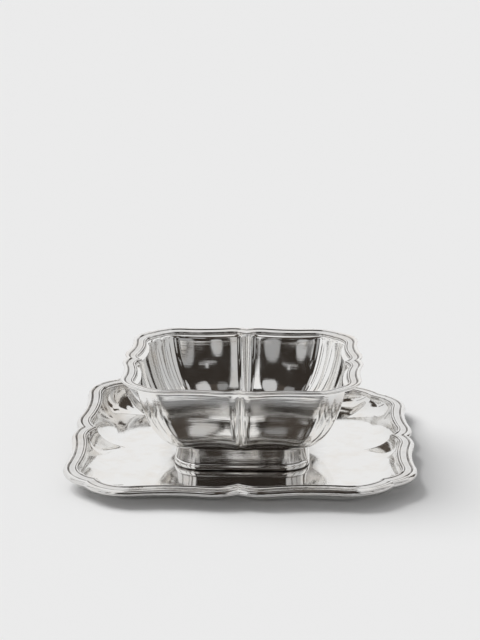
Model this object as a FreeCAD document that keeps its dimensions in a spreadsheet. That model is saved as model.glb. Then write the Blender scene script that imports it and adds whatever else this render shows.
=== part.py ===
"""Silver sauce bowl standing loose in a square lobed stand, with contour mouldings on both rims.

Frame: millimetres, +Z up, origin at the middle of the face that the stand rests on.
Both rims share one plan: each side has a small lobe beside its middle cusp, a shallow hollow,
and a large lobe that ends in the corner cusp. All of it is tangent arcs, and it repeats eight
times round the square.
"""

import FreeCAD, Part
import math
import os
import Sketcher

from FreeCAD import Placement, Rotation, Vector

os.makedirs("parts", exist_ok=True)
doc = FreeCAD.newDocument("sauce_bowl_on_stand")

# Driving dimensions, in millimetres unless the name says otherwise.
SIZES = {
    # stand: plan of the outermost edge
    "stand_half_width": 115.1,
    "stand_side_lobe_offset": 14.8,
    "stand_side_lobe_radius": 33.6,
    "stand_hollow_radius": 133.4,
    "stand_corner_lobe_offset": 69.9,
    "stand_corner_lobe_reach": 113.8,
    "stand_corner_lobe_radius": 31.7,
    # stand: heights and sheet; its border is level, with a deep rolled lip
    "stand_height": 14.3,
    "stand_sheet": 1.0,
    "stand_floor_scale": 0.87,
    "stand_rim_scale": 1.0,
    "stand_border_width": 10.4,
    "stand_border_rise": 0.0,
    "stand_bed_gap": 0.0,
    "stand_lip_radius": 2.6,
    "stand_lip_drop": 4.8,
    # bowl: plan of the outermost edge
    "bowl_half_width": 80.4,
    "bowl_side_lobe_offset": 9.7,
    "bowl_side_lobe_radius": 23.3,
    "bowl_hollow_radius": 82.8,
    "bowl_corner_lobe_offset": 46.8,
    "bowl_corner_lobe_reach": 78.2,
    "bowl_corner_lobe_radius": 26.4,
    # bowl: heights, measured from the well it stands in, and sheet; its border rises outwards to
    # a thin lip
    "bowl_height": 64.5,
    "bowl_sheet": 1.0,
    "bowl_floor_scale": 0.612,
    "bowl_rim_scale": 0.984,
    "bowl_border_width": 9.2,
    "bowl_border_rise": 1.7,
    "bowl_bed_gap": 0.015,
    "bowl_lip_radius": 0.75,
    "bowl_lip_drop": 1.365,
    # bowl: plan of its wall's inner face, before scaling, and the bend between wall and ledge
    "bowl_wall_half_width": 70.2,
    "bowl_wall_side_lobe_offset": 5.15,
    "bowl_wall_side_lobe_radius": 6.5,
    "bowl_wall_hollow_radius": 95.0,
    "bowl_wall_corner_lobe_offset": 49.5,
    "bowl_wall_corner_lobe_reach": 67.6,
    "bowl_wall_corner_lobe_radius": 12.5,
    "bowl_flare_height": 1.0,
    # foot under the bowl
    "foot_height": 14.3,
    "foot_wall": 1.4,
    "foot_corner_radius": 17.5,
    "collar_top_half_width": 42.8,
    "collar_bottom_half_width": 44.0,
    "base_step": 1.0,
    "base_moulding_height": 4.6,
    "base_moulding_round": 1.4,
    # both: sheet turned out flat under the border
    "ledge_thickness": 1.0,
}

# The moulded border's section, as shares of its width: distance in from the outer edge, and
# height above the moulding's top plane, which rises outwards where the border does.
LEDGE_SETBACK = 0.21
BED_DROP = 0.15
MAIN_GROOVE = 0.325
MAIN_GROOVE_HALF_WIDTH = 0.045
MAIN_GROOVE_DROP = 0.09
FINE_GROOVE = 0.78
INNER_GROOVE = 0.93
GROOVE_HALF_WIDTH = 0.025
GROOVE_DROP = 0.055
COVE_DROP = 0.05
BEAD_RISE = 0.03
INNER_EDGE_DROP = 0.07

# Wall sections stand at these shares of the wall's height, and a flare's sections at these angles
# of its turn from upright. A wall's curve is a power and the share of the curve's height that it
# uses: the whole curve ends upright, and less of it leaves the wall leaning out at the rim.
WALL_STEPS = (0.0, 0.03, 0.10, 0.25, 0.50, 0.75, 1.0)
FLARE_DEGREES = (10.0, 31.0, 53.0, 75.0)
STAND_WALL_CURVE = (2.0, 1.0)
BOWL_WALL_CURVE = (1.82, 0.82)
OCTANTS = [(quarter, hand) for quarter in range(4) for hand in ("left", "right")]
MITRE_OVERLAP_DEGREES = 24.0
SAME_POINT = 0.02


def make_sheet():
    """The spreadsheet that holds every driving dimension under its own name."""
    table = doc.addObject("Spreadsheet::Sheet", "Sizes")
    for row, (name, value) in enumerate(SIZES.items(), start=1):
        table.set(f"A{row}", name)
        table.set(f"B{row}", str(value))
        table.setAlias(f"B{row}", name)
    doc.recompute()
    return table


sheet = make_sheet()


def size(name):
    """One driving dimension, read from the sheet."""
    return float(getattr(sheet, name))


class Plan:
    """A lobed plan: the sizes of one octant's three arcs, and their centres."""

    def __init__(self, half_width, side_offset, side_radius, hollow_radius, *corner_sizes):
        corner_offset, corner_reach, corner_radius = corner_sizes
        self.sizes = (half_width, side_offset, side_radius, hollow_radius, *corner_sizes)
        self.side_radius = side_radius
        self.hollow_radius = hollow_radius
        self.corner_radius = corner_radius
        self.side_centre = Vector(side_offset, half_width - side_radius)
        self.corner_centre = Vector(corner_offset, corner_reach - corner_radius)
        self.hollow_centre = self.find_hollow_centre()

    def find_hollow_centre(self):
        """Centre of the hollow, which touches both lobes from outside the plan."""
        to_side = self.side_radius + self.hollow_radius
        to_corner = self.corner_radius + self.hollow_radius
        base = self.corner_centre - self.side_centre
        along = (base.Length**2 + to_side**2 - to_corner**2) / (2 * base.Length)
        across = math.sqrt(to_side**2 - along**2)
        direction = Vector(base).normalize()
        outward = Vector(-direction.y, direction.x)
        return self.side_centre + direction * along + outward * across

    def inset(self, distance):
        """The same plan drawn a distance further in."""
        changes = (-1, 0, -1, 1, 0, -1, -1)
        return Plan(*[value + change * distance for value, change in zip(self.sizes, changes)])

    def scaled(self, factor):
        """The same plan made larger or smaller."""
        return Plan(*[value * factor for value in self.sizes])

    def blended(self, other, share):
        """A plan part of the way from this one to another."""
        return Plan(*[a + (b - a) * share for a, b in zip(self.sizes, other.sizes)])

    def middle_cusp(self):
        """Where the outline meets the middle of the side."""
        centre = self.side_centre
        return Vector(0, centre.y + math.sqrt(self.side_radius**2 - centre.x**2))

    def corner_cusp(self):
        """Where the outline meets the diagonal."""
        centre = self.corner_centre
        half_sum = (centre.x + centre.y) / 2
        half_gap = (centre.y - centre.x) / 2
        step = math.sqrt(self.corner_radius**2 / 2 - half_gap**2)
        return Vector(half_sum + step, half_sum + step)

    def arcs(self):
        """Start, middle and end of the octant's three arcs, from middle cusp to corner cusp."""
        toward_hollow = (self.hollow_centre - self.side_centre).normalize()
        first_join = self.side_centre + toward_hollow * self.side_radius
        from_hollow = (self.hollow_centre - self.corner_centre).normalize()
        second_join = self.corner_centre + from_hollow * self.corner_radius
        stops = [self.middle_cusp(), first_join, second_join, self.corner_cusp()]
        centres = [self.side_centre, self.hollow_centre, self.corner_centre]
        return [arc_points(c, a, b) for c, a, b in zip(centres, stops[:-1], stops[1:])]


def plan_of(name):
    """The plan whose driving dimensions start with a name."""
    parts = ("half_width", "side_lobe_offset", "side_lobe_radius", "hollow_radius")
    corner_parts = ("corner_lobe_offset", "corner_lobe_reach", "corner_lobe_radius")
    return Plan(*[size(f"{name}_{part}") for part in parts + corner_parts])


def arc_points(centre, start, end):
    """Start, middle and end of the shorter arc about a centre."""
    halfway = ((start - centre) + (end - centre)).normalize()
    return start, centre + halfway * (start - centre).Length, end


def add_body(name):
    """A body whose label is the name of the piece."""
    body = doc.addObject("PartDesign::Body", name)
    body.Label = name
    return body


def add_sketch(body, name, role, offset):
    """A sketch on one of the body's own planes, moved by an offset in that plane's axes."""
    sketch = body.newObject("Sketcher::SketchObject", name)
    plane = next(o for o in body.Origin.OriginFeatures if o.Role == role)
    sketch.AttachmentSupport = [(plane, "")]
    sketch.MapMode = "FlatFace"
    sketch.AttachmentOffset = offset
    return sketch


def level_sketch(body, name, height):
    """A horizontal sketch at a height given as an expression in the sheet's names."""
    sketch = add_sketch(body, name, "XY_Plane", Placement())
    sketch.setExpression("AttachmentOffset.Base.z", height)
    return sketch


def draw_plan(sketch, plan):
    """The whole lobed outline, by turning and mirroring the octant's arcs."""
    for quarter, hand in OCTANTS:
        turn = Rotation(Vector(0, 0, 1), 90 * quarter)
        side = 1 if hand == "right" else -1
        for points in plan.arcs():
            placed = [turn.multVec(Vector(side * p.x, p.y)) for p in points]
            sketch.addGeometry(Part.Arc(*placed), False)


def draw_rounded_square(sketch, half_width, corner_radius):
    """A rounded square held by constraints on its half width and its corner radius.

    Both sizes are expressions in the sheet's names.
    """
    half, radius = 40.0, 10.0
    straight = half - radius
    sides, corners = [], []
    for quarter in range(4):
        turn = Rotation(Vector(0, 0, 1), 90 * quarter)
        ends = [turn.multVec(Vector(half, y)) for y in (-straight, straight)]
        sides.append(sketch.addGeometry(Part.LineSegment(*ends), False))
        bend = [Vector(half, straight), Vector(straight, straight) + Vector(1, 1).normalize() * radius]
        bend.append(Vector(straight, half))
        corners.append(sketch.addGeometry(Part.Arc(*[turn.multVec(p) for p in bend]), False))
    for quarter in range(4):
        following = sides[(quarter + 1) % 4]
        direction = "Vertical" if quarter % 2 == 0 else "Horizontal"
        sketch.addConstraint(Sketcher.Constraint("Tangent", sides[quarter], 2, corners[quarter], 1))
        sketch.addConstraint(Sketcher.Constraint("Tangent", corners[quarter], 2, following, 1))
        sketch.addConstraint(Sketcher.Constraint(direction, sides[quarter]))
    for quarter in range(3):
        sketch.addConstraint(Sketcher.Constraint("Equal", corners[quarter], corners[quarter + 1]))
    distances = [("DistanceX", -1, 1, sides[0], 1), ("DistanceX", sides[2], 1, -1, 1)]
    distances += [("DistanceY", -1, 1, sides[1], 1), ("DistanceY", sides[3], 1, -1, 1)]
    for kind, *ends in distances:
        index = sketch.addConstraint(Sketcher.Constraint(kind, *ends, half))
        sketch.setExpression(f"Constraints[{index}]", half_width)
    index = sketch.addConstraint(Sketcher.Constraint("Radius", corners[0], radius))
    sketch.setExpression(f"Constraints[{index}]", corner_radius)


def add_pad(body, name, sketch, length):
    """Material from a sketch upward, by a length given as an expression."""
    pad = body.newObject("PartDesign::Pad", name)
    pad.Profile = sketch
    pad.setExpression("Length", length)
    return pad


def add_pocket(body, name, sketch):
    """A cut through everything above and below a sketch."""
    pocket = body.newObject("PartDesign::Pocket", name)
    pocket.Profile = sketch
    pocket.Type = "ThroughAll"
    pocket.Midplane = True
    return pocket


def add_loft(body, kind, name, sections):
    """An additive or subtractive loft through horizontal sketches, lowest first."""
    loft = body.newObject(f"PartDesign::{kind}Loft", name)
    loft.Profile = sections[0]
    loft.Sections = sections[1:]
    return loft


def wall_reach(step, curve):
    """How far out a wall has come at a share of its height, where 1 is the whole curve's reach."""
    power, used = curve
    return (1 - (1 - step * used) ** power) ** (1 / power)


def wall_scale(step, floor_scale, rim_scale, curve):
    """Scale of the plan at a share of the wall's height: steep above, rounding in to the floor."""
    return floor_scale + (rim_scale - floor_scale) * wall_reach(step, curve) / wall_reach(1.0, curve)


def wall_sections(body, name, plan, scales, curve, low, high):
    """Sketches of a lobed wall between two heights, given as expressions."""
    sections = []
    for count, step in enumerate(WALL_STEPS):
        sketch = level_sketch(body, f"{name}_{count}", f"({low}) + {step} * (({high}) - ({low}))")
        draw_plan(sketch, plan.scaled(wall_scale(step, *scales, curve)))
        sections.append(sketch)
    return sections


def flare_sections(body, name, wall_plan, rim_plan, low, high):
    """Sketches of a bend outward, from a steep wall to a nearly flat ledge."""
    sections = []
    angles = [math.radians(degrees) for degrees in FLARE_DEGREES]
    first, last = angles[0], angles[-1]
    for count, angle in enumerate(angles):
        rise = (math.sin(angle) - math.sin(first)) / (math.sin(last) - math.sin(first))
        out = (math.cos(first) - math.cos(angle)) / (math.cos(first) - math.cos(last))
        sketch = level_sketch(body, f"{name}_{count}", f"({low}) + {rise} * (({high}) - ({low}))")
        draw_plan(sketch, wall_plan.blended(rim_plan, out))
        sections.append(sketch)
    return sections


def bed_height(piece, top):
    """Expression for the height of the ledge that a border is soldered down to."""
    return f"{top} - {BED_DROP} * Sizes.{piece}_border_width"


def add_brim(body, kind, name, mouth, edge_plan, low, rise):
    """A ledge's sloping face, rising from the dish's mouth to its outer edge."""
    inner = level_sketch(body, f"{name}_mouth", low)
    draw_plan(inner, mouth)
    outer = level_sketch(body, f"{name}_edge", f"{low} + {rise}")
    draw_plan(outer, edge_plan)
    add_loft(body, kind, name, [inner, outer])


def make_dish(name, piece, curve, floor, top):
    """A raised sheet dish: flat floor, creased lobed wall, and a ledge turned out at the rim.

    A wall with a plan of its own bends out to the rim's. The floor's underside and the rim's
    top are expressions in the sheet's names.
    """
    body = add_body(name)
    rim = plan_of(piece)
    mouth = rim.inset(size(f"{piece}_border_width"))
    flared = f"{piece}_flare_height" in SIZES
    inner = plan_of(f"{piece}_wall") if flared else mouth
    outer = inner.inset(-size(f"{piece}_sheet"))
    scales = (size(f"{piece}_floor_scale"), size(f"{piece}_rim_scale"))
    ledge_top = bed_height(piece, top)
    ledge_bottom = f"{ledge_top} - Sizes.ledge_thickness"
    inner_floor = f"{floor} + Sizes.{piece}_sheet"
    bend = f"{ledge_bottom} - Sizes.{piece}_flare_height"

    outside = wall_sections(
        body, f"{name}_outside", outer, scales, curve, floor, bend if flared else ledge_bottom
    )
    add_loft(body, "Additive", f"{name}_wall", outside)
    if flared:
        wall_end = outer.scaled(scales[1])
        turned_out = flare_sections(body, f"{name}_flare", wall_end, mouth, bend, ledge_bottom)
        add_loft(body, "Additive", f"{name}_flare", turned_out)

    edge_plan = rim.inset(LEDGE_SETBACK * size(f"{piece}_border_width"))
    rise = (1 - LEDGE_SETBACK) * size(f"{piece}_border_rise")
    if rise:
        add_brim(body, "Additive", f"{name}_brim", mouth, edge_plan, ledge_bottom, rise)
    ledge = level_sketch(body, f"{name}_ledge_plan", f"{ledge_bottom} + {rise}")
    draw_plan(ledge, edge_plan)
    add_pad(body, f"{name}_ledge", ledge, "Sizes.ledge_thickness")
    if rise:
        add_brim(body, "Subtractive", f"{name}_brim_top", mouth, edge_plan, ledge_top, rise)

    inside = wall_sections(
        body, f"{name}_inside", inner, scales, curve, inner_floor, bend if flared else ledge_top
    )
    add_loft(body, "Subtractive", f"{name}_hollow", inside)
    if flared:
        wall_end = inner.scaled(scales[1])
        turned_out = flare_sections(body, f"{name}_mouth", wall_end, mouth, bend, ledge_top)
        add_loft(body, "Subtractive", f"{name}_mouth", turned_out)
    return body


def draw_border_section(sketch, radius, outward, piece):
    """The moulding's section, at a distance from the arc's axis.

    outward is 1 where the axis is inside the plan and -1 where it is outside.
    From the outside in: rounded lip, main groove, shallow cove, fine groove, bead, inner groove.
    Its bed lies a solder's thickness above the ledge.
    """
    width = size(f"{piece}_border_width")
    rise = size(f"{piece}_border_rise") / width
    lip = size(f"{piece}_lip_radius") / width
    foot_drop = size(f"{piece}_lip_drop") / width
    bed = size(f"{piece}_bed_gap") / width - BED_DROP

    def at(inset, height):
        return Vector(radius - outward * inset * width, (height + rise * (1 - inset)) * width)

    foot = lip - math.sqrt(lip**2 - (foot_drop - lip) ** 2)
    inner_groove_out = INNER_GROOVE - GROOVE_HALF_WIDTH
    bead_middle = (FINE_GROOVE + GROOVE_HALF_WIDTH + inner_groove_out) / 2
    cove_middle = (MAIN_GROOVE + FINE_GROOVE) / 2
    outline = [
        (at(LEDGE_SETBACK, bed), None),
        (at(LEDGE_SETBACK, -foot_drop), None),
        (at(foot, -foot_drop), None),
        (at(lip, 0), at(0, -lip)),
        (at(MAIN_GROOVE - MAIN_GROOVE_HALF_WIDTH, 0), None),
        (at(MAIN_GROOVE, -MAIN_GROOVE_DROP), None),
        (at(MAIN_GROOVE + MAIN_GROOVE_HALF_WIDTH, 0), None),
        (at(FINE_GROOVE - GROOVE_HALF_WIDTH, 0), at(cove_middle, -COVE_DROP)),
        (at(FINE_GROOVE, -GROOVE_DROP), None),
        (at(FINE_GROOVE + GROOVE_HALF_WIDTH, 0), None),
        (at(inner_groove_out, 0), at(bead_middle, BEAD_RISE)),
        (at(INNER_GROOVE, -GROOVE_DROP), None),
        (at(1, -INNER_EDGE_DROP), None),
        (at(1, bed), None),
    ]
    previous = outline[-1][0]
    for point, through in outline:
        if point.distanceToPoint(previous) > SAME_POINT:
            edge = Part.Arc(previous, through, point) if through else Part.LineSegment(previous, point)
            sketch.addGeometry(edge, False)
        previous = point


def add_border_arc(body, name, centre, radius, outward, ends, piece, top):
    """One stretch of moulding: the section turned about the arc's upright axis."""
    start, end = [math.degrees(math.atan2(p.y - centre.y, p.x - centre.x)) for p in ends]
    middle = (start + end) / 2
    offset = Placement(Vector(centre.x, 0, -centre.y), Rotation(Vector(0, 1, 0), middle))
    section = add_sketch(body, f"{name}_section", "XZ_Plane", offset)
    section.setExpression("AttachmentOffset.Base.y", top)
    draw_border_section(section, radius, outward, piece)
    turned = body.newObject("PartDesign::Revolution", name)
    turned.Profile = section
    turned.ReferenceAxis = (section, ["V_Axis"])
    turned.Midplane = True
    turned.Angle = abs(end - start)


def turned_about(point, centre, degrees):
    """A point swung about a centre, anticlockwise seen from above."""
    return centre + Rotation(Vector(0, 0, 1), degrees).multVec(point - centre)


def add_mitres(body, name, plan, side):
    """Cuts the moulding off at the upright planes through the middle cusp and the corner cusp."""
    middle, corner = plan.middle_cusp(), plan.corner_cusp()
    reach = 0.45 * middle.y
    diagonal, across = Vector(reach, reach), Vector(reach, -reach)
    beyond_middle = [
        middle + Vector(0, reach),
        middle - Vector(0, reach),
        middle + Vector(-reach, -reach),
        middle + Vector(-reach, reach),
    ]
    beyond_corner = [
        corner + diagonal,
        corner - diagonal,
        corner - diagonal + across,
        corner + diagonal + across,
    ]
    sketch = level_sketch(body, f"{name}_plan", "0")
    for polygon in (beyond_middle, beyond_corner):
        points = [Vector(side * p.x, p.y) for p in polygon]
        for start, end in zip(points, points[1:] + points[:1]):
            sketch.addGeometry(Part.LineSegment(start, end), False)
    add_pocket(body, name, sketch)


def make_border_length(name, piece, quarter, hand, top):
    """One length of drawn moulding, from a middle cusp to a corner cusp, mitred at both ends."""
    body = add_body(name)
    plan = plan_of(piece)
    side = 1 if hand == "right" else -1

    def flip(point):
        return Vector(side * point.x, point.y)

    arcs = plan.arcs()
    arcs[0] = (turned_about(arcs[0][0], plan.side_centre, MITRE_OVERLAP_DEGREES),) + arcs[0][1:]
    arcs[2] = arcs[2][:2] + (turned_about(arcs[2][2], plan.corner_centre, -MITRE_OVERLAP_DEGREES),)
    stretches = [
        ("side_lobe", plan.side_centre, plan.side_radius, 1),
        ("hollow", plan.hollow_centre, plan.hollow_radius, -1),
        ("corner_lobe", plan.corner_centre, plan.corner_radius, 1),
    ]
    for (label, centre, radius, outward), points in zip(stretches, arcs):
        ends = [flip(points[0]), flip(points[2])]
        add_border_arc(body, f"{name}_{label}", flip(centre), radius, outward, ends, piece, top)
    add_mitres(body, f"{name}_mitres", plan, side)
    body.Placement = Placement(Vector(), Rotation(Vector(0, 0, 1), 90 * quarter))
    return body


def make_border(piece, top):
    """The eight lengths of moulding round one rim, numbered anticlockwise seen from above."""
    lengths = []
    for quarter, hand in OCTANTS:
        number = (2 * quarter + (1 if hand == "left" else 0)) % 8 + 1
        name = f"{piece}_border_{number}"
        lengths.append(make_border_length(name, piece, quarter, hand, top))
    return lengths


def make_foot_collar():
    """The foot's wall: a rounded-square ring, slightly wider at the bottom."""
    body = add_body("foot_collar")
    low = "Sizes.stand_sheet + Sizes.base_moulding_height"
    high = "Sizes.stand_sheet + Sizes.foot_height"
    for kind, label, inward in (("Additive", "outside", "0"), ("Subtractive", "inside", "Sizes.foot_wall")):
        sections = []
        for end, height in (("bottom", low), ("top", high)):
            sketch = level_sketch(body, f"collar_{label}_{end}", height)
            half = f"Sizes.collar_{end}_half_width - {inward}"
            draw_rounded_square(sketch, half, f"Sizes.foot_corner_radius - {inward}")
            sections.append(sketch)
        add_loft(body, kind, f"collar_{label}", sections)
    return body


def make_foot_base():
    """The moulding that the foot stands on: a flat ring with its outer edges rounded."""
    body = add_body("foot_base_moulding")
    outer = level_sketch(body, "base_outline", "Sizes.stand_sheet")
    outer_half = "Sizes.collar_bottom_half_width + Sizes.base_step"
    draw_rounded_square(outer, outer_half, "Sizes.foot_corner_radius + Sizes.base_step")
    ring = add_pad(body, "base_block", outer, "Sizes.base_moulding_height")
    doc.recompute()

    radius = size("base_moulding_round")
    top = size("stand_sheet") + size("base_moulding_height")
    rims = [
        f"Edge{i}"
        for i, edge in enumerate(ring.Shape.Edges, start=1)
        if abs(edge.BoundBox.ZMin - top) < 1e-6
    ]
    rounded = body.newObject("PartDesign::Fillet", "base_rounding")
    rounded.Base = (ring, rims)
    rounded.Radius = radius
    rounded.setExpression("Radius", "Sizes.base_moulding_round")

    opening = level_sketch(body, "base_opening", "Sizes.stand_sheet")
    inner_half = "Sizes.collar_bottom_half_width - Sizes.foot_wall"
    draw_rounded_square(opening, inner_half, "Sizes.foot_corner_radius - Sizes.foot_wall")
    add_pocket(body, "base_cut", opening)
    return body


def build():
    """Every piece of the object, stand first."""
    stand_top = "Sizes.stand_height"
    bowl_floor = "Sizes.stand_sheet + Sizes.foot_height"
    bowl_top = "Sizes.stand_sheet + Sizes.bowl_height - Sizes.bowl_border_rise"
    pieces = [make_dish("stand_plate", "stand", STAND_WALL_CURVE, "0", stand_top)]
    pieces += make_border("stand", stand_top)
    pieces.append(make_dish("bowl_shell", "bowl", BOWL_WALL_CURVE, bowl_floor, bowl_top))
    pieces += make_border("bowl", bowl_top)
    pieces += [make_foot_collar(), make_foot_base()]
    return pieces


def check(pieces):
    """Stops if any object failed to build, or if a piece is not one valid solid."""
    failed = [o.Name for o in doc.Objects if "Invalid" in o.State or "Error" in o.State]
    if failed:
        raise RuntimeError("failed objects: " + ", ".join(failed))
    for piece in pieces:
        shape = piece.Shape
        if shape.isNull() or not shape.isValid() or len(shape.Solids) != 1:
            raise RuntimeError(f"{piece.Label} is not one valid solid")


parts = build()
doc.recompute()
check(parts)
for part in parts:
    part.Shape.exportStep(f"parts/{part.Label}.step")
    print(part.Label, round(part.Shape.Volume, 1), part.Shape.BoundBox)
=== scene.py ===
"""Looks, studio and camera for a silver sauce bowl on its stand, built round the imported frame.

Metres, +Z up. Every visible piece replaces one CAD node of the same name, at the same place.
"""

import math

import bmesh
import bpy
import numpy as np
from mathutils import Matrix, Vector


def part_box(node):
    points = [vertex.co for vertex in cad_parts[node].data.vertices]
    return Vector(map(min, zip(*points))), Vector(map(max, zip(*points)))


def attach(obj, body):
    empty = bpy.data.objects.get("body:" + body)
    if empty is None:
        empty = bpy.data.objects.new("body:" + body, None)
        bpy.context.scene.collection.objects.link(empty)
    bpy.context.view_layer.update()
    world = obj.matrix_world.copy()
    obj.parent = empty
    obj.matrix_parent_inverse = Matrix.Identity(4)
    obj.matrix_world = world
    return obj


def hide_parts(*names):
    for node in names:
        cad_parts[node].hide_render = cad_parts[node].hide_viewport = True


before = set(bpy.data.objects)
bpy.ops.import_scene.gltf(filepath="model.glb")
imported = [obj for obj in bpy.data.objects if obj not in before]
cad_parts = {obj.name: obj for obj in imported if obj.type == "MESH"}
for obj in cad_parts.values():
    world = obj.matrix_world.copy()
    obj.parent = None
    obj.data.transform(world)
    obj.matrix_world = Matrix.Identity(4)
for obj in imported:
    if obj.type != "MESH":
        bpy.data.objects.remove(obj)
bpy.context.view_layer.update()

MM = 0.001

# Each plan's sizes at its outer edge: half width, side lobe's offset and radius, hollow's radius,
# corner lobe's offset, reach and radius. The bowl's wall has a plan of its own, its inner face.
PLANS = {
    "stand": (115.1, 14.8, 33.6, 133.4, 69.9, 113.8, 31.7),
    "bowl": (80.4, 9.7, 23.3, 82.8, 46.8, 78.2, 26.4),
    "bowl_wall": (70.2, 5.15, 6.5, 95.0, 49.5, 67.6, 12.5),
}
# Each border's width, its rise from inside to outside, and its lip's radius and depth.
BORDERS = {
    "stand": dict(width=10.4 * MM, rise=0.0, lip=2.6 * MM, drop=4.8 * MM),
    "bowl": dict(width=9.2 * MM, rise=1.7 * MM, lip=0.75 * MM, drop=1.38 * MM),
}
SHEET = {"stand": 1.0 * MM, "bowl": 1.0 * MM}
LEDGE_THICKNESS = 1.0 * MM

# How each dish's wall rises: its plan scale at the floor and at the rim, the power of its curve,
# the share of the curve's height that it uses, and the height of the bend above it.
WALL = {
    "stand": dict(floor=0.87, rim=1.0, power=2.0, used=1.0, flare=0.0),
    "bowl": dict(floor=0.612, rim=0.988, power=1.87, used=0.74, flare=1.0 * MM),
}
FLARE_START = math.radians(10)
FLARE_END = math.radians(75)
ARC_STEPS = (14, 16, 20)
LIP_STEPS = 18
MOULDING_STEPS = 84
WALL_STEPS = 40
FLARE_STEPS = 9
FLOOR_SHARES = np.linspace(0.001, 0.96, 13)
SAME_POINT = 0.002 * MM
SHARP_ANGLE = math.radians(50)
OCTANTS = [(quarter, hand) for quarter in range(4) for hand in ("left", "right")]

# The border's section, as shares of its width.
LEDGE_SETBACK = 0.21
BED_DROP = 0.15
MAIN_GROOVE = 0.325
FINE_GROOVE = 0.78
INNER_GROOVE = 0.93
# Each groove's middle, half width and depth. Its bottom is black.
GROOVES = (
    (MAIN_GROOVE, 0.062, 0.10),
    (FINE_GROOVE, 0.034, 0.05),
    (INNER_GROOVE, 0.034, 0.07),
)
COVE_DROP = 0.02
BEAD_RISE = 0.03
INNER_EDGE_DROP = 0.07

# Tarnish and painted shade, from 0 to 1. The underside of a lip is painted dark, painted shade, for this
# much of its turn;
# the rest of the lip and the cove are painted a little darker, painted shade standing in for darker
# reflections, and so is the stand's wall, fully at a height above its floor.
HIDDEN_TARNISH = 0.6
LIP_UNDERSIDE_PAINTED_SHADE = 0.8
LIP_SHADE_ANGLE = math.radians(25)
LIP_FACE_PAINTED_SHADE = 0.22
COVE_PAINTED_SHADE = 0.20
WALL_PAINTED_SHADE = 0.18
WALL_PAINTED_SHADE_HEIGHT = 8 * MM

# Darker low on the outside of the bowl, and on the stand's floor under it.
LOW_DARKENING = 0.7
LOW_DARKENING_HEIGHT = 9 * MM
WELL_DARKENING = 0.4
WELL_DARKENING_REACH = 54 * MM

# How far the stand's creases run on into its floor, as a share of its size, and half their width.
PINCH = 0.09
PINCH_WIDTH = 6 * MM
CREASES = 8

# Hand-worked sheet is a hair out of true.
WAVE_COUNT = 9
WAVE_LENGTH = 30 * MM
WAVE_DEPTH = 0.06 * MM
WAVE_SEED = 4

FOOT_CORNER = 17.5 * MM
FOOT_WALL = 1.4 * MM
COLLAR_TAPER = 1.2 * MM
COLLAR_COVE = 0.35 * MM
COLLAR_DARKENING = 0.3
COLLAR_STEPS = 16
COLLAR_EDGE_DARKENING = 0.7
BASE_ROUND = 1.4 * MM
# The foot's base band is painted dark below this angle of its round, a painted contact shadow where it
# stands.
BASE_PAINTED_SHADOW_BELOW = -42

# The stand isn't quite flat: its far left corner stands proud. Rise of the rim in metres per
# metre of x, per metre of y, and per square metre of x times y.
STAND_TILT_X = -0.0165
STAND_TILT_Y = 0.0184
STAND_TWIST = -0.300

# The bowl's inside is streaky by this share of its outside.
INSIDE_STREAKS = 0.35

# The dark colour mixed in by the mesh's layer: tarnish in the grooves, and painted shade elsewhere.
TARNISH_AND_SHADE_COLOUR = (0.056, 0.039, 0.028)
HAIRLINE_DEPTH = 0.006 * MM

# The studio's light.
SKY_LIGHT = 0.42
SUN_LIGHT = 2.45
SUN_WIDTH = 40
SUN_FROM = (-0.62, 0.40, 0.72)
FLOOR_PALENESS = 0.86
FLOOR_SIZE = 14.0

# What only reflections see: name, outline, azimuths, elevations, distance and brightness.
# Azimuth 0 is straight behind the object and 90 is to its right. The darkest are warm.
REFLECTED = (
    ("white_room", "block", (0, 360), (-1, 90), 3.0, 0.86),
    ("right_wall", "block", (75, 158), (-1, 52), 2.8, 0.55),
    ("dark_room", "block", (156, 210), (-1, 80), 2.6, 0.03),
    ("dark_overhead", "block", (145, 224), (50, 76), 2.6, 0.03),
    ("right_stand", "block", (98, 101), (8, 60), 2.6, 0.04),
    ("right_post", "block", (124, 129), (8, 60), 2.6, 0.06),
    ("left_stand", "block", (226, 232), (8, 48), 2.6, 0.08),
    ("left_post", "block", (244, 247), (8, 60), 2.6, 0.04),
    ("far_left_stand", "block", (283, 288), (20, 60), 2.6, 0.06),
    ("far_right_stand", "block", (27, 39), (34, 56), 2.6, 0.07),
    ("far_right_screen", "block", (41, 57), (0, 34), 2.6, 0.09),
    ("left_panel", "arch", (190, 206), (0, 19), 2.5, 0.33),
    ("right_panel", "arch", (164, 175), (0, 15), 2.5, 0.45),
    ("lamp_arm", "arch", (170, 188), (19.2, 20.6), 2.5, 0.5),
    ("lamp_bulb", "oval", (178, 181), (20, 24), 2.5, 0.5),
    ("left_overhead", "oval", (187, 212), (45, 66), 0.365, 0.55),
    ("right_overhead", "oval", (155, 174), (51, 63), 0.365, 0.25),
)

PATCH_STEPS = (33, 16)
WARM_BELOW = 0.2
WHITE = (1.0, 1.0, 1.0)
WARM = (1.0, 0.82, 0.68)

# Two level cards that only reflections see: name, middle, size and brightness. front_shade is a painted
# shadow, a dark card on the floor just in front of the stand, standing in for the floor's shadow there.
CARDS = (
    ("front_shade", (0.0, -0.134, 0.0005), (0.26, 0.022), 0.22),
    ("canopy", (0.0, -0.17, 0.5), (0.27, 0.58), 0.06),
)

CAMERA_DISTANCE = 1.168
CAMERA_HEIGHT = 0.402
CAMERA_SIDESTEP = -0.00226
CAMERA_TURN = math.radians(1.97)
CAMERA_PITCH = math.radians(14.87)
CAMERA_LENS = 67.8
SENSOR_HEIGHT = 24.0


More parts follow.
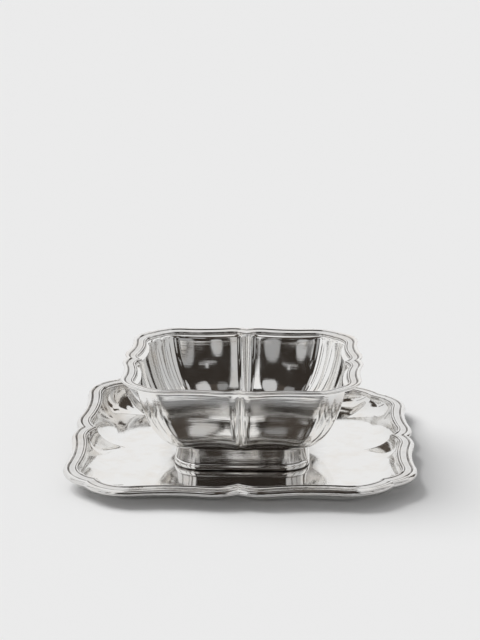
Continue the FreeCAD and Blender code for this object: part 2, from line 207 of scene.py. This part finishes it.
class Plan:
    """A lobed plan: the sizes of one octant's three arcs, and their centres."""

    def __init__(self, sizes):
        half, side_offset, side_radius, hollow_radius, corner_offset, corner_reach, corner_radius = sizes
        self.sizes = np.array(sizes)
        self.radii = (side_radius, hollow_radius, corner_radius)
        self.side_centre = np.array([side_offset, half - side_radius])
        self.corner_centre = np.array([corner_offset, corner_reach - corner_radius])
        self.hollow_centre = self.find_hollow_centre()

    def find_hollow_centre(self):
        """Centre of the hollow, which touches both lobes from outside the plan."""
        to_side = self.radii[0] + self.radii[1]
        to_corner = self.radii[2] + self.radii[1]
        base = self.corner_centre - self.side_centre
        length = np.hypot(*base)
        along = (length**2 + to_side**2 - to_corner**2) / (2 * length)
        across = math.sqrt(to_side**2 - along**2)
        direction = base / length
        outward = np.array([-direction[1], direction[0]])
        return self.side_centre + direction * along + outward * across

    def inset(self, distance):
        """The same plan drawn a distance further in."""
        return Plan(self.sizes + distance * np.array([-1, 0, -1, 1, 0, -1, -1]))

    def scaled(self, factor):
        """The same plan made larger or smaller."""
        return Plan(self.sizes * factor)

    def blended(self, other, share):
        """A plan part of the way from this one to another."""
        return Plan(self.sizes + (other.sizes - self.sizes) * share)

    def octant(self):
        """Points from the middle cusp to the corner cusp.

        They crowd towards both cusps, so that the creases there stay crisp.
        """
        side, hollow, corner = self.radii
        offset = self.side_centre[0]
        start = math.atan2(math.sqrt(side**2 - offset**2), -offset)
        to_hollow = angle_of(self.hollow_centre - self.side_centre)
        back = angle_of(self.side_centre - self.hollow_centre)
        onward = angle_of(self.corner_centre - self.hollow_centre)
        from_hollow = angle_of(self.hollow_centre - self.corner_centre)
        half_gap = (self.corner_centre[1] - self.corner_centre[0]) / 2
        step = math.sqrt(corner**2 / 2 - half_gap**2)
        cusp = np.full(2, self.corner_centre.mean() + step)
        end = angle_of(cusp - self.corner_centre)
        ease_in = 1 - np.cos(np.linspace(0, math.pi / 2, ARC_STEPS[0]))
        even = np.linspace(0, 1, ARC_STEPS[1])
        ease_out = np.sin(np.linspace(0, math.pi / 2, ARC_STEPS[2]))
        return np.vstack([
            arc(self.side_centre, side, start, to_hollow, ease_in)[:-1],
            arc(self.hollow_centre, hollow, back, onward, even)[:-1],
            arc(self.corner_centre, corner, from_hollow, end, ease_out),
        ])

    def ring(self):
        """The whole outline, anticlockwise from the middle of the far side."""
        octant = self.octant()
        turned = []
        for quarter in range(4):
            left = octant * (-1, 1)
            right = octant[:, ::-1] * (-1, 1)
            turned += [turn(left[:-1], quarter), turn(right[::-1][:-1], quarter)]
        return np.vstack(turned)


def plan_of(name):
    return Plan(np.array(PLANS[name]) * MM)


def angle_of(v):
    return math.atan2(v[1], v[0])


def arc(centre, radius, start, end, shares):
    """Points on an arc, at shares of its sweep."""
    angles = start + (end - start) * shares
    return centre + radius * np.stack([np.cos(angles), np.sin(angles)], axis=1)


def turn(points, quarters):
    """Plan points turned anticlockwise by quarter turns."""
    for _ in range(quarters):
        points = np.stack([-points[:, 1], points[:, 0]], axis=1)
    return points


def at_height(points, z):
    return np.column_stack([points, np.full(len(points), z)])


def make_piece(name, body, rows, material, tarnish_and_shade, ends, streaks=1.0):
    """A mesh through closed rows of points, which replaces the CAD node of the same name.

    tarnish and streaks say how dark and how streaky each point is, from 0 to 1; the darkness is tarnish
    in places and painted shade in others.
    ends says how the first and last rows are finished: "poles" where each is a tiny ring to be
    filled, "caps" where each is a whole section, and "loop" where the last row joins the first.
    """
    rows = np.asarray(rows)
    count, length = rows.shape[:2]
    pairs = [(i, i + 1) for i in range(count - 1)]
    if ends == "loop":
        pairs.append((count - 1, 0))
    faces = []
    for low, high in pairs:
        for j in range(length):
            k = (j + 1) % length
            faces.append((low * length + j, low * length + k, high * length + k, high * length + j))
    if ends != "loop":
        first = list(range(length))
        faces += [first, [(count - 1) * length + j for j in first][::-1]]
    mesh = bpy.data.meshes.new(f"{name}_silver")
    mesh.from_pydata(rows.reshape(-1, 3).tolist(), [], faces)
    for layer_name, values in (("tarnish_and_shade", tarnish_and_shade), ("streaks", streaks)):
        layer = mesh.attributes.new(layer_name, "FLOAT", "POINT")
        spread = np.broadcast_to(np.asarray(values, np.float32), (count, length))
        layer.data.foreach_set("value", spread.ravel())
    clean_mesh(mesh)
    piece = bpy.data.objects.new(f"{name}_silver", mesh)
    bpy.context.scene.collection.objects.link(piece)
    mesh.materials.append(material)
    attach(piece, body)
    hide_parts(name)
    return piece


def clean_mesh(mesh):
    """Merges points that coincide, turns every face outwards and shades smooth."""
    bm = bmesh.new()
    bm.from_mesh(mesh)
    bmesh.ops.remove_doubles(bm, verts=bm.verts, dist=SAME_POINT)
    bmesh.ops.recalc_face_normals(bm, faces=bm.faces)
    bm.to_mesh(mesh)
    bm.free()
    mesh.shade_smooth()
    mesh.set_sharp_from_angle(angle=SHARP_ANGLE)


def stand_rise(points, sheet, top):
    """Lifts the stand's rim as the real one is bent: full at its top, nothing at its floor."""
    x, y, z = points[..., 0], points[..., 1], points[..., 2]
    share = np.clip((z - sheet) / (top - sheet), 0, 1)
    moved = points.copy()
    moved[..., 2] = z + share * (STAND_TILT_X * x + STAND_TILT_Y * y + STAND_TWIST * x * y)
    return moved


def border_section(piece):
    """Points (inset, height, tarnish and painted shade) round the moulding's section, in metres but for
    tarnish and painted shade.
    """
    border = BORDERS[piece]
    width = border["width"]
    lip, drop = border["lip"] / width, border["drop"] / width
    foot_angle = -math.asin((drop - lip) / lip)
    section = []
    for angle in np.linspace(foot_angle, math.pi / 2, LIP_STEPS):
        # Painted shade: the lip's underside dark near its foot, and its outer face a little darker,
        # fading to nothing at its top.
        painted_shade = LIP_FACE_PAINTED_SHADE * math.cos(max(angle, 0.0))
        shade = LIP_UNDERSIDE_PAINTED_SHADE if angle < foot_angle + LIP_SHADE_ANGLE else painted_shade
        section.append((lip - lip * math.cos(angle), lip * math.sin(angle) - lip, shade))
    for inset in np.linspace(lip, 1.0, MOULDING_STEPS)[1:]:
        section.append((inset, *moulding_height(inset)))
    section.append((1.0, -BED_DROP, HIDDEN_TARNISH))
    section.append((LEDGE_SETBACK, -BED_DROP, HIDDEN_TARNISH))
    section.append((LEDGE_SETBACK, -drop, HIDDEN_TARNISH))
    return [
        (inset * width, height * width + border["rise"] * (1 - inset), dark)
        for inset, height, dark in section
    ]


def moulding_height(inset):
    """Height and tarnish of the moulding's top at an inset, all as shares of its width."""
    height, dark = 0.0, 0.0
    for centre, half_width, depth in GROOVES:
        notch = math.exp(-(((inset - centre) / half_width) ** 2))
        height -= depth * notch
        dark = max(dark, notch)
    cove_middle = (MAIN_GROOVE + FINE_GROOVE) / 2
    cove_half = (FINE_GROOVE - MAIN_GROOVE) / 2
    in_cove = max(0.0, 1 - ((inset - cove_middle) / cove_half) ** 2)
    height -= COVE_DROP * in_cove
    # Painted shade along the cove, standing in for its darker reflection.
    dark = max(dark, COVE_PAINTED_SHADE * in_cove)
    bead_middle = (FINE_GROOVE + INNER_GROOVE) / 2
    bead_half = (INNER_GROOVE - FINE_GROOVE) / 2
    height += BEAD_RISE * max(0.0, 1 - ((inset - bead_middle) / bead_half) ** 2)
    if inset > INNER_GROOVE:
        height -= INNER_EDGE_DROP * (inset - INNER_GROOVE) / (1 - INNER_GROOVE)
    return height, dark


def rim_top(piece):
    """Height of the moulding's top plane at its inner edge, from the CAD border's highest point."""
    highest = max(height for _, height, _ in border_section(piece))
    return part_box(f"{piece}_border_1")[1].z - highest


def make_border(piece, material):
    """Eight mitred lengths of moulding round one rim."""
    plan = plan_of(piece)
    top = rim_top(piece)
    section = border_section(piece)
    lines = [(plan.inset(inset).octant(), top + height) for inset, height, _ in section]
    dark = [shade for _, _, shade in section]
    for quarter, hand in OCTANTS:
        number = (2 * quarter + (1 if hand == "left" else 0)) % 8 + 1
        side = 1 if hand == "right" else -1
        rows = np.array([at_height(turn(line * (side, 1), quarter), z) for line, z in lines])
        if piece == "stand":
            rows = stand_rise(rows, SHEET["stand"], top)
        name = f"{piece}_border_{number}"
        make_piece(name, piece, rows.transpose(1, 0, 2), material, dark, "caps")


def wall_stations(plan, shape, low, high):
    """Plans and heights up a wall, even along its curve."""
    end = math.acos((1 - shape["used"]) ** (shape["power"] / 2))
    angles = np.linspace(0, end, WALL_STEPS)
    rise = 1 - np.cos(angles) ** (2 / shape["power"])
    out = np.sin(angles) ** (2 / shape["power"])
    heights = low + rise / rise[-1] * (high - low)
    scales = shape["floor"] + out / out[-1] * (shape["rim"] - shape["floor"])
    return [(plan.scaled(scale), height) for scale, height in zip(scales, heights)]


def flare_stations(wall_end, mouth, low, high):
    """Plans and heights round the bend from the steep wall out to the ledge."""
    stations = []
    for angle in np.linspace(FLARE_START, FLARE_END, FLARE_STEPS)[1:]:
        rise = (math.sin(angle) - math.sin(FLARE_START)) / (math.sin(FLARE_END) - math.sin(FLARE_START))
        out = (math.cos(FLARE_START) - math.cos(angle)) / (math.cos(FLARE_START) - math.cos(FLARE_END))
        stations.append((wall_end.blended(mouth, out), low + rise * (high - low)))
    return stations


def planished(points):
    """How far each point is pushed in or out: a few long, slight waves in random directions."""
    random = np.random.default_rng(WAVE_SEED)
    x, y, z = points[..., 0], points[..., 1], points[..., 2]
    push = np.zeros_like(x)
    for _ in range(WAVE_COUNT):
        direction = random.normal(size=3)
        direction /= np.linalg.norm(direction)
        frequency = 2 * math.pi / (WAVE_LENGTH * random.uniform(0.6, 1.6))
        phase = random.uniform(0, 2 * math.pi)
        push += np.sin(frequency * (x * direction[0] + y * direction[1] + z * direction[2]) + phase)
    return push * WAVE_DEPTH / math.sqrt(WAVE_COUNT)


def make_dish(name, piece, floor, material):
    """A raised sheet dish: floor, creased lobed wall, and the ledge under the border."""
    rim, shape, sheet = plan_of(piece), WALL[piece], SHEET[piece]
    width = BORDERS[piece]["width"]
    mouth = rim.inset(width)
    inner = plan_of("bowl_wall") if piece == "bowl" else mouth
    outer = inner.inset(-sheet)
    ledge = rim.inset(LEDGE_SETBACK * width)
    ledge_rise = (1 - LEDGE_SETBACK) * BORDERS[piece]["rise"]
    ledge_top = rim_top(piece) - BED_DROP * width
    ledge_bottom = ledge_top - LEDGE_THICKNESS
    bend = ledge_bottom - shape["flare"]
    if shape["flare"]:
        inside = wall_stations(inner, shape, floor + sheet, bend)
        inside += flare_stations(inner.scaled(shape["rim"]), mouth, bend, ledge_top)
        outside = wall_stations(outer, shape, floor, bend)
        outside += flare_stations(outer.scaled(shape["rim"]), mouth, bend, ledge_bottom)
    else:
        inside = wall_stations(inner, shape, floor + sheet, ledge_top)
        outside = wall_stations(outer, shape, floor, ledge_bottom)

    floor_shares = shape["floor"] * FLOOR_SHARES
    stations = [(inner.scaled(share), floor + sheet) for share in floor_shares]
    stations += inside
    stations += [(ledge, ledge_top + ledge_rise), (ledge, ledge_bottom + ledge_rise)]
    stations += outside[::-1]
    stations += [(outer.scaled(share), floor) for share in floor_shares[::-1]]
    rows = np.array([at_height(plan.ring(), z) for plan, z in stations])
    rows = with_waves(rows, floor, ledge_bottom)
    if piece == "stand":
        rows = pinched(rows, floor, ledge_bottom)
        rows = stand_rise(rows, sheet, rim_top("stand"))
    if piece == "stand":
        dark, streaks = stand_darkening(rows, floor + sheet)
    else:
        dark, streaks = bowl_darkening(rows, floor, outside_start=len(floor_shares) + len(inside) + 2)
    make_piece(name, piece, rows, material, dark, "poles", streaks)


def stand_darkening(rows, well):
    """Darkening and streaks of the stand: darker where the foot stands, and painted shade up the wall.
    """
    from_middle = (np.abs(rows[..., :2] / WELL_DARKENING_REACH) ** 4).sum(axis=2)
    under_foot = WELL_DARKENING * np.clip(1 - from_middle, 0, 1)
    up_wall = np.clip((rows[..., 2] - well) / WALL_PAINTED_SHADE_HEIGHT, 0, 1)
    # Painted shade up the wall, standing in for the darker reflections there.
    return np.maximum(under_foot, WALL_PAINTED_SHADE * up_wall), 1.0


def bowl_darkening(rows, floor, outside_start):
    """Darkening and streaks of the bowl: dark low on its outside, and hardly streaky inside."""
    height = np.clip((rows[outside_start:, :, 2] - floor) / LOW_DARKENING_HEIGHT, 0, 1)
    dark, streaks = np.zeros(rows.shape[:2]), np.ones(rows.shape[:2])
    dark[outside_start:] = LOW_DARKENING * (1 - height) ** 2
    streaks[:outside_start] = INSIDE_STREAKS
    return dark, streaks


def with_waves(rows, low, high):
    """The wall a hair in and out of true, as hand-worked sheet is, but true at floor and rim."""
    share = np.clip((rows[..., 2] - low) / (high - low), 0, 1)
    level = rows[..., :2]
    distance = np.maximum(np.linalg.norm(level, axis=2, keepdims=True), 1 * MM)
    push = planished(rows) * np.sin(math.pi * share) ** 0.5
    moved = rows.copy()
    moved[..., :2] += level / distance * push[..., None]
    return moved


def pinched(rows, low, high):
    """Draws the wall's foot inwards at each cusp, so that the creases run on into the floor."""
    x, y = rows[..., 0], rows[..., 1]
    turns = np.arange(CREASES) * 2 * math.pi / CREASES
    ahead = x[..., None] * np.cos(turns) + y[..., None] * np.sin(turns)
    aside = np.abs(y[..., None] * np.cos(turns) - x[..., None] * np.sin(turns))
    off_line = np.where(ahead > 0, aside, np.inf).min(axis=-1)
    share = np.clip((rows[..., 2] - low) / (high - low), 0, 1)
    pull = PINCH * np.exp(-((off_line / PINCH_WIDTH) ** 2)) * (1 - share) ** 1.5
    moved = rows.copy()
    moved[..., :2] *= (1 - pull)[..., None]
    return moved


def rounded_square(half, radius, steps=14):
    """A rounded square's outline, anticlockwise from the right side's middle."""
    centre = half - radius
    corner = arc(np.full(2, centre), radius, 0.0, math.pi / 2, np.linspace(0, 1, steps))
    side = np.linspace(-centre, centre, 12)[1:-1]
    straight = np.column_stack([np.full(len(side), half), side])
    quarter = np.vstack([straight, corner])
    return np.vstack([turn(quarter, count) for count in range(4)])


def make_foot(material):
    """The foot's collar, a touch hollow in its wall, and the rounded band that it stands on."""
    low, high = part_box("foot_collar")
    half = high.x
    stations = []
    for share in np.linspace(0, 1, COLLAR_STEPS):
        cove = COLLAR_COVE * math.sin(math.pi * share)
        stations.append((half - COLLAR_TAPER * share - cove, low.z + share * (high.z - low.z)))
    for share in np.linspace(1, 0, 6):
        stations.append((half - COLLAR_TAPER * share - FOOT_WALL, low.z + share * (high.z - low.z)))
    rows = [at_height(rounded_square(w, FOOT_CORNER - (half - w)), z) for w, z in stations]
    edges = (0, COLLAR_STEPS - 1)
    # The collar is darkened all over, and more at its top and bottom edges.
    dark = [[COLLAR_EDGE_DARKENING if i in edges else COLLAR_DARKENING] for i in range(len(rows))]
    make_piece("foot_collar", "bowl", rows, material, dark, "loop")

    low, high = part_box("foot_base_moulding")
    outer, inner = high.x, half - FOOT_WALL
    middle, tall = (low.z + high.z) / 2, (high.z - low.z) / 2
    # The band is painted darkest on its underside and low on its round, a painted contact shadow; its
    # top under the collar is darkened too.
    stations = [(inner, low.z, 0.5), (outer - BASE_ROUND, low.z, 1.0)]
    for angle in np.linspace(-math.pi / 2, math.pi / 2, 17)[1:-1]:
        bulge = BASE_ROUND * (1 - math.cos(angle) ** 0.7)
        shade = 1.0 if math.degrees(angle) < BASE_PAINTED_SHADOW_BELOW else 0.0
        stations.append((outer - bulge, middle + tall * math.sin(angle), shade))
    stations += [(outer - BASE_ROUND, high.z, 0.5), (inner, high.z, 0.8)]
    rows = [at_height(rounded_square(w, FOOT_CORNER + w - half), z) for w, z, _ in stations]
    dark = [[shade] for _, _, shade in stations]
    make_piece("foot_base_moulding", "bowl", rows, material, dark, "loop")


def new_material(name):
    material = bpy.data.materials.new(name)
    material.use_nodes = True
    nodes = material.node_tree.nodes
    return material, nodes, material.node_tree.links, nodes["Principled BSDF"]


def add_node(nodes, kind, **inputs):
    """A shader node with its inputs set by name."""
    node = nodes.new(kind)
    for name, value in inputs.items():
        node.inputs[name.replace("_", " ")].default_value = value
    return node


def noise(nodes, links, where, scale, detail, stretch=(1.0, 1.0, 1.0)):
    """Cloudy noise in the piece's own space, stretched by different scales along X, Y and Z."""
    mapping = nodes.new("ShaderNodeMapping")
    mapping.inputs["Scale"].default_value = stretch
    links.new(where, mapping.inputs["Vector"])
    texture = add_node(nodes, "ShaderNodeTexNoise", Scale=scale, Detail=detail, Roughness=0.6)
    links.new(mapping.outputs["Vector"], texture.inputs["Vector"])
    return texture.outputs["Fac"]


def remap(nodes, links, value, from_range, to_range):
    """The value moved from one range to another, and kept inside it."""
    node = add_node(nodes, "ShaderNodeMapRange", From_Min=from_range[0], From_Max=from_range[1],
                    To_Min=to_range[0], To_Max=to_range[1])
    links.new(value, node.inputs["Value"])
    return node.outputs["Result"]


def blend(nodes, links, factor, first, second):
    """A mix of two colours; either may be a plain value or another node's output."""
    node = nodes.new("ShaderNodeMix")
    node.data_type = "RGBA"
    links.new(factor, node.inputs["Factor"])
    for socket, colour in (("A", first), ("B", second)):
        if isinstance(colour, tuple):
            node.inputs[socket].default_value = (*colour, 1.0)
        else:
            links.new(colour, node.inputs[socket])
    return node.outputs["Result"]


def times_layer(nodes, links, value, layer_name):
    """The value times one of the mesh's own layers."""
    layer = nodes.new("ShaderNodeAttribute")
    layer.attribute_name = layer_name
    product = nodes.new("ShaderNodeMath")
    product.operation = "MULTIPLY"
    links.new(value, product.inputs[0])
    links.new(layer.outputs["Fac"], product.inputs[1])
    return product.outputs[0]


def bumped(nodes, links, height, distance, under=None):
    """A bump of a height in metres, on top of another where given."""
    node = add_node(nodes, "ShaderNodeBump", Strength=1.0, Distance=distance)
    links.new(height, node.inputs["Height"])
    if under is not None:
        links.new(under, node.inputs["Normal"])
    return node.outputs["Normal"]


def polished_silver(name, base, roughness, streaks):
    """Silver: a warm breath of tarnish in clouds, dark grooves and painted shade from the mesh's layer,
    fine wear and level streaks.
    """
    material, nodes, links, shader = new_material(name)
    where = nodes.new("ShaderNodeTexCoord").outputs["Object"]
    shader.inputs["Metallic"].default_value = 1.0

    clouds = remap(nodes, links, noise(nodes, links, where, 45.0, 5.0), (0.48, 0.78), (0.0, 1.0))
    warm = tuple(channel * fade for channel, fade in zip(base, (0.95, 0.91, 0.865)))
    clean = blend(nodes, links, clouds, base, warm)
    # The mesh's layer of tarnish and painted shade darkens the colour in blotches.
    blotches = remap(nodes, links, noise(nodes, links, where, 120.0, 4.0), (0.25, 0.55), (0.45, 1.0))
    patchy_tarnish_and_shade = times_layer(nodes, links, blotches, "tarnish_and_shade")
    colour = blend(nodes, links, patchy_tarnish_and_shade, clean, TARNISH_AND_SHADE_COLOUR)
    links.new(colour, shader.inputs["Base Color"])

    wear = noise(nodes, links, where, 160.0, 6.0)
    gloss = remap(nodes, links, wear, (0.3, 0.8), (roughness * 0.5, roughness * 1.9))
    links.new(gloss, shader.inputs["Roughness"])

    level = noise(nodes, links, where, 1.0, 3.0, stretch=(18.0, 18.0, 950.0))
    hairline = noise(nodes, links, where, 1.0, 3.0, stretch=(60.0, 900.0, 900.0))
    ripple = bumped(nodes, links, times_layer(nodes, links, level, "streaks"), streaks)
    links.new(bumped(nodes, links, hairline, HAIRLINE_DEPTH, under=ripple), shader.inputs["Normal"])
    return material


def plain_material(name, colour, strength=0.0):
    """The studio's own surfaces: matt, or glowing where strength is above 0."""
    material, nodes, links, shader = new_material(name)
    shader.inputs["Base Color"].default_value = (*colour, 1.0)
    shader.inputs["Roughness"].default_value = 0.9
    shader.inputs["Specular IOR Level"].default_value = 0.0
    if strength > 0:
        shader.inputs["Emission Color"].default_value = (*colour, 1.0)
        shader.inputs["Emission Strength"].default_value = strength
        shader.inputs["Base Color"].default_value = (0.0, 0.0, 0.0, 1.0)
    return material


def glow(name, brightness):
    """A glowing surface, warm where it is dark."""
    tint = WARM if brightness < WARM_BELOW else WHITE
    return plain_material(name, tint, strength=brightness)


def patch_edges(outline, t):
    """Lower and upper edges, as shares of a patch's height, at t from -1 to 1 across it."""
    if outline == "block":
        return np.zeros_like(t), np.ones_like(t)
    if outline == "arch":
        return np.zeros_like(t), np.sqrt(1 - np.abs(t) ** 3)
    half = np.sqrt(1 - t**4) / 2
    return 0.5 - half, 0.5 + half


def add_patch(name, outline, azimuths, elevations, radius, material):
    """A piece of a dome round the object, which only reflections see."""
    t = np.linspace(-1, 1, PATCH_STEPS[0])
    across = np.radians(np.interp(t, (-1, 1), azimuths))
    lower, upper = patch_edges(outline, t)
    shares = lower + (upper - lower) * np.linspace(0, 1, PATCH_STEPS[1])[:, None]
    sky = np.radians(elevations[0] + shares * (elevations[1] - elevations[0]))
    level = np.broadcast_to(across, sky.shape)
    directions = (np.sin(level) * np.cos(sky), np.cos(level) * np.cos(sky), np.sin(sky))
    points = radius * np.stack(directions, axis=2)
    rows, columns = sky.shape
    faces = []
    for i in range(rows - 1):
        for j in range(columns - 1):
            corner = i * columns + j
            faces.append((corner, corner + 1, corner + columns + 1, corner + columns))
    mesh = bpy.data.meshes.new(name)
    mesh.from_pydata(points.reshape(-1, 3).tolist(), [], faces)
    mesh.materials.append(material)
    patch = bpy.data.objects.new(name, mesh)
    bpy.context.scene.collection.objects.link(patch)
    only_reflected(patch)


def only_reflected(thing):
    """Makes a piece of the studio show in reflections and nowhere else."""
    thing.visible_camera = False
    thing.visible_diffuse = False
    thing.visible_shadow = False


def make_studio():
    """Pale floor, white surroundings, a soft sun from behind on the left, and a dark front."""
    scene = bpy.context.scene
    scene.view_settings.view_transform = "Standard"
    world = bpy.data.worlds.new("studio")
    world.use_nodes = True
    sky = world.node_tree.nodes["Background"]
    sky.inputs["Color"].default_value = (1.0, 1.0, 1.0, 1.0)
    sky.inputs["Strength"].default_value = SKY_LIGHT
    scene.world = world

    bpy.ops.mesh.primitive_plane_add(size=FLOOR_SIZE, location=(0, 0, 0))
    floor = bpy.context.object
    floor.name = "floor"
    floor.data.materials.append(plain_material("pale_floor", (FLOOR_PALENESS,) * 3))

    sun = bpy.data.lights.new("sun", "SUN")
    sun.energy = SUN_LIGHT
    sun.angle = math.radians(SUN_WIDTH)
    lamp = bpy.data.objects.new("sun", sun)
    lamp.rotation_mode = "QUATERNION"
    lamp.rotation_quaternion = Vector(SUN_FROM).to_track_quat("Z", "Y")
    lamp.visible_glossy = False
    scene.collection.objects.link(lamp)

    make_surroundings()


def make_surroundings():
    """What the silver reflects: white all round, and a dark room in front with its lamps."""
    for name, outline, azimuths, elevations, radius, brightness in REFLECTED:
        add_patch(name, outline, azimuths, elevations, radius, glow(name, brightness))
    for name, middle, size, brightness in CARDS:
        bpy.ops.mesh.primitive_plane_add(size=1.0, location=middle)
        card = bpy.context.object
        card.name = name
        card.scale = (*size, 1.0)
        card.data.materials.append(glow(name, brightness))
        only_reflected(card)


def make_camera():
    """The viewpoint: in front, a little to the right of the middle, looking down."""
    data = bpy.data.cameras.new("camera")
    data.sensor_fit = "VERTICAL"
    data.sensor_height = SENSOR_HEIGHT
    data.lens = CAMERA_LENS
    camera = bpy.data.objects.new("camera", data)
    cos, sin = math.cos(CAMERA_TURN), math.sin(CAMERA_TURN)
    x = CAMERA_SIDESTEP * cos + CAMERA_DISTANCE * sin
    y = CAMERA_SIDESTEP * sin - CAMERA_DISTANCE * cos
    camera.location = (x, y, CAMERA_HEIGHT)
    camera.rotation_euler = (math.pi / 2 - CAMERA_PITCH, 0.0, CAMERA_TURN)
    bpy.context.scene.collection.objects.link(camera)
    bpy.context.scene.camera = camera


sheet_silver = polished_silver("silver_sheet", (0.935, 0.930, 0.918), 0.07, streaks=0.06 * MM)
moulding_silver = polished_silver("silver_moulding", (0.925, 0.918, 0.905), 0.10, streaks=0.01 * MM)
make_camera()
make_studio()
make_dish("stand_plate", "stand", 0.0, sheet_silver)
make_border("stand", moulding_silver)
make_dish("bowl_shell", "bowl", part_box("bowl_shell")[0].z, sheet_silver)
make_border("bowl", moulding_silver)
make_foot(sheet_silver)
